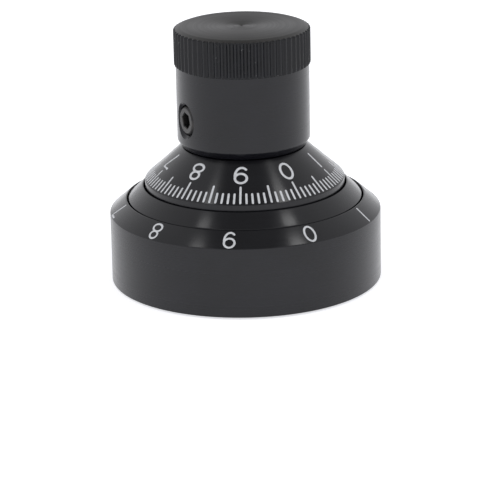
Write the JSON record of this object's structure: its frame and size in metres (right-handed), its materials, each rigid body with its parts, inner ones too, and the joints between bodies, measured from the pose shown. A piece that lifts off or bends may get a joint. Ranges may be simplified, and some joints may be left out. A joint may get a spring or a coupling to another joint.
{
  "type": "turns-counting dial",
  "caption": "Concentric-scale turns-counting dial: knurled knob, inner dial of hundredths, fixed index ring and geared outer dial of whole turns, for a quarter-inch control shaft.",
  "frame": {"origin": "centre of the face that lies on the panel, on the axis of rotation", "axes": "+Z out of the panel towards the knob, +Y towards the index line"},
  "size_m": [0.046, 0.046, 0.0438],
  "materials": {
    "black_anodised": "black anodised, fine turned, satin on the sides and glossier on the cones",
    "marking_fill": "off-white paint in engraved lines and digits",
    "black_steel": "black oxide, satin",
    "black_zinc": "black zinc plate, satin",
    "zinc_plate": "bright zinc plate",
    "brass": "turned, bright",
    "bronze": "sintered, oiled, matte",
    "acetal": "natural acetal, smooth and waxy"
  },
  "bodies": {
    "root": {"base_plate": "black_zinc", "panel_nut": "zinc_plate", "index_ring": "black_anodised", "hub_bush": "bronze", "pillar_1": "black_steel", "pillar_2": "black_steel", "pillar_3": "black_steel", "pillar_4": "black_steel", "pillar_screw_1": "black_steel", "pillar_screw_2": "black_steel", "pillar_screw_3": "black_steel", "pillar_screw_4": "black_steel", "index_screw_1": "black_steel", "index_screw_2": "black_steel", "index_screw_3": "black_steel", "index_screw_4": "black_steel"},
    "knob_group": {"knob": "black_anodised", "inner_dial": "black_anodised", "drive_sleeve": "brass", "snap_ring": "black_steel", "thrust_washer": "black_steel", "set_screw_1": "black_steel", "set_screw_2": "black_steel", "dial_screw_1": "black_steel", "dial_screw_2": "black_steel", "dial_screw_3": "black_steel"},
    "turns_group": {"turns_dial": "black_anodised", "ring_gear": "brass", "retaining_ring": "black_steel"},
    "wobble_group": {"wobble_gear": "acetal", "gear_bush": "bronze"}
  },
  "joints": [
    {"name": "knob_spin", "type": "hinge", "parent": "root", "child": "knob_group", "pos_m": [0, 0, 0.03], "axis": [0, 0, -1], "continuous": true},
    {"name": "turns_spin", "type": "hinge", "parent": "root", "child": "turns_group", "pos_m": [0, 0, 0.008], "axis": [0, 0, -1], "continuous": true},
    {"name": "wobble_spin", "type": "hinge", "parent": "knob_group", "child": "wobble_group", "pos_m": [0.0017, 0, 0.0079], "axis": [0, 0, -1], "continuous": true}
  ],
  "couplings": [
    {"joint": "turns_spin", "follows": "knob_spin", "ratio": 0.1},
    {"joint": "wobble_spin", "follows": "knob_spin", "ratio": -1}
  ]
}
